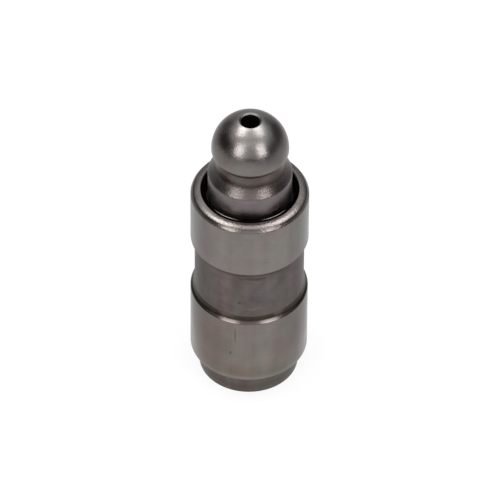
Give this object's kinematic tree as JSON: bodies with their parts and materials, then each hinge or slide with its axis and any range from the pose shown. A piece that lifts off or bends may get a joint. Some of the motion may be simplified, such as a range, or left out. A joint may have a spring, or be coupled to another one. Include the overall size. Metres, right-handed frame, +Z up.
{
  "type": "valve lifter",
  "caption": "Pivot-type hydraulic valve lifter: a ground steel body with an oil groove holds a sprung plunger with a drilled ball head above a one-way ball valve.",
  "frame": {"origin": "centre of the base's flat underside", "axes": "+Z up along the lifter's axis towards the ball head, +Y towards the oil feed hole and the ring's gap"},
  "size_m": [0.012, 0.012, 0.0339],
  "materials": {
    "ground_steel": "turned, hardened and ground on the lands, dull in the groove and on the base",
    "polished_steel": "turned and hardened, polished on the ball",
    "dark_spring_steel": "oiled black oxide",
    "bright_spring_steel": "drawn wire",
    "pressed_steel": "drawn sheet"
  },
  "bodies": {
    "housing": {"housing": "ground_steel", "retaining_ring": "dark_spring_steel", "plunger_spring": "bright_spring_steel"},
    "piston": {"lower_plunger": "ground_steel", "ball_cage": "pressed_steel", "ball_spring": "bright_spring_steel"},
    "ball_plunger": {"ball_plunger": "polished_steel"},
    "check_ball": {"check_ball": "polished_steel"}
  },
  "joints": [
    {"name": "plunger_slide", "type": "slide", "parent": "housing", "child": "piston", "axis": [0, 0, 1], "range_m": [-0.003, 0], "stiffness_N_per_m": 3000, "springref_m": 0.004, "deforming": ["plunger_spring"]},
    {"name": "plunger_spin", "type": "hinge", "parent": "piston", "child": "ball_plunger", "pos_m": [0, 0, 0.0142], "axis": [0, 0, 1], "continuous": true},
    {"name": "check_ball_lift", "type": "slide", "parent": "piston", "child": "check_ball", "axis": [0, 0, 1], "range_m": [-0.00025, 0], "stiffness_N_per_m": 100, "springref_m": 0.001, "deforming": ["ball_spring"]}
  ]
}
